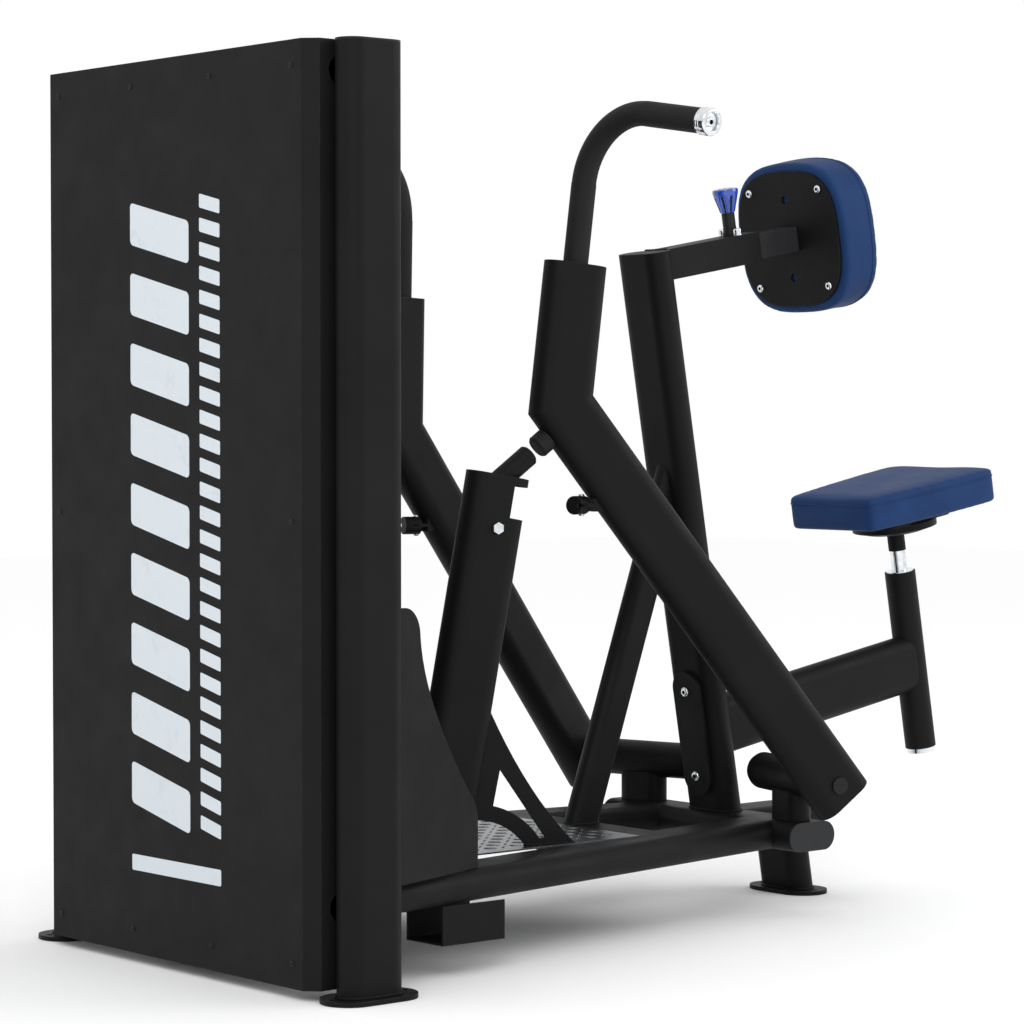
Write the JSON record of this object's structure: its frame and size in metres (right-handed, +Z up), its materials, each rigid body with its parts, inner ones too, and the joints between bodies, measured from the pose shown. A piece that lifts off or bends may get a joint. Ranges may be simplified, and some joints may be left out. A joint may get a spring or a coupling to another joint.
{
  "type": "seated cable row machine",
  "caption": "Seated rowing machine with a covered weight tower, welded base, leaning column with chest pad and seat, and independent elbowed rowing levers.",
  "frame": {"origin": "on the floor, midway between the centre lines of the two tower uprights", "axes": "+X from the tower to the seat, +Z up, +Y to the far side; the machine mirrors across the XZ plane except for lever pose"},
  "size_m": [1.9729, 1.0304, 1.58],
  "materials": {
    "black_coat": "satin textured powder coat",
    "cover_coat": "satin powder coat",
    "black_plastic": "moulded",
    "bright_steel": "polished plating",
    "plate_iron": "painted",
    "tread_alloy": "embossed tread",
    "blue_plastic": "gloss",
    "blue_cover": "padded upholstery",
    "black_rubber": "matte",
    "bush_bronze": "machined",
    "cap_plastic": "moulded"
  },
  "bodies": {
    "frame": {"tower_upright": "black_coat", "floor_plate": "black_coat", "tower_cap": "black_plastic", "tower_cover": "cover_coat", "cover_screw": "black_coat", "tower_cross_tube": "black_coat", "guide_rod": "bright_steel", "stack_buffer": "black_rubber", "stack_guard": "cover_coat", "base_rail": "black_coat", "cross_tube": "black_coat", "cross_cap": "cap_plastic", "rear_stub": "black_coat", "rear_foot": "black_coat", "pulley_box": "black_coat", "pulley_axle": "bright_steel", "foot_plate": "tread_alloy", "stop_post": "black_coat", "post_gusset": "black_coat", "stop_stub": "black_coat", "column": "black_coat", "brace": "black_coat", "column_plate": "black_coat", "plate_bolt": "bright_steel", "seat_beam": "black_coat", "seat_tube": "black_coat", "seat_liner": "bright_steel", "arm_outer": "black_coat", "arm_liner": "black_plastic", "arm_pin_body": "black_plastic", "pivot_riser": "black_coat", "pivot_housing": "black_coat", "pivot_bush": "bush_bronze"},
    "weight_stack": {"weight_plate": "plate_iron", "stack_head": "plate_iron", "selector_pin": "blue_plastic"},
    "near_arm": {"near_lever": "black_coat", "near_handle": "black_rubber", "near_end_cap": "bright_steel", "near_shaft": "bright_steel", "near_bumper": "black_rubber", "near_link": "black_coat", "near_link_bolt": "bright_steel"},
    "far_arm": {"far_lever": "black_coat", "far_handle": "black_rubber", "far_end_cap": "bright_steel", "far_shaft": "bright_steel", "far_bumper": "black_rubber", "far_link": "black_coat", "far_link_bolt": "bright_steel"},
    "seat": {"seat_rod": "bright_steel", "seat_bracket": "black_coat", "seat_pad": "blue_cover"},
    "chest_rest": {"arm_inner": "black_coat", "chest_plate": "black_coat", "chest_bolt": "bright_steel", "chest_pad": "blue_cover"},
    "arm_pin": {"arm_pin_knob": "blue_plastic"},
    "near_low_wheel": {"near_low_pulley": "blue_plastic"},
    "far_low_wheel": {"far_low_pulley": "blue_plastic"}
  },
  "joints": [
    {"name": "near_lever_pivot", "type": "hinge", "parent": "frame", "child": "near_arm", "pos_m": [1.16, -0.361, 0.265], "axis": [0.2656, 0.9641, 0], "range_deg": [-1, 35]},
    {"name": "far_lever_pivot", "type": "hinge", "parent": "frame", "child": "far_arm", "pos_m": [1.16, 0.361, 0.265], "axis": [-0.2656, 0.9641, 0], "range_deg": [-0.6, 40]},
    {"name": "stack_lift", "type": "slide", "parent": "frame", "child": "weight_stack", "axis": [0, 0, 1], "range_m": [0, 0.6]},
    {"name": "seat_height", "type": "slide", "parent": "frame", "child": "seat", "axis": [-0.1736, 0, 0.9848], "range_m": [-0.04, 0.15]},
    {"name": "chest_reach", "type": "slide", "parent": "frame", "child": "chest_rest", "axis": [0.9848, 0, 0.1736], "range_m": [-0.05, 0.1]},
    {"name": "arm_pin_pull", "type": "slide", "parent": "frame", "child": "arm_pin", "axis": [-0.1736, 0, 0.9848], "range_m": [0, 0.012]},
    {"name": "near_low_pulley_spin", "type": "hinge", "parent": "frame", "child": "near_low_wheel", "pos_m": [0.254, -0.2, 0.122], "axis": [0, 1, 0], "continuous": true},
    {"name": "far_low_pulley_spin", "type": "hinge", "parent": "frame", "child": "far_low_wheel", "pos_m": [0.254, 0.2, 0.122], "axis": [0, 1, 0], "continuous": true}
  ]
}
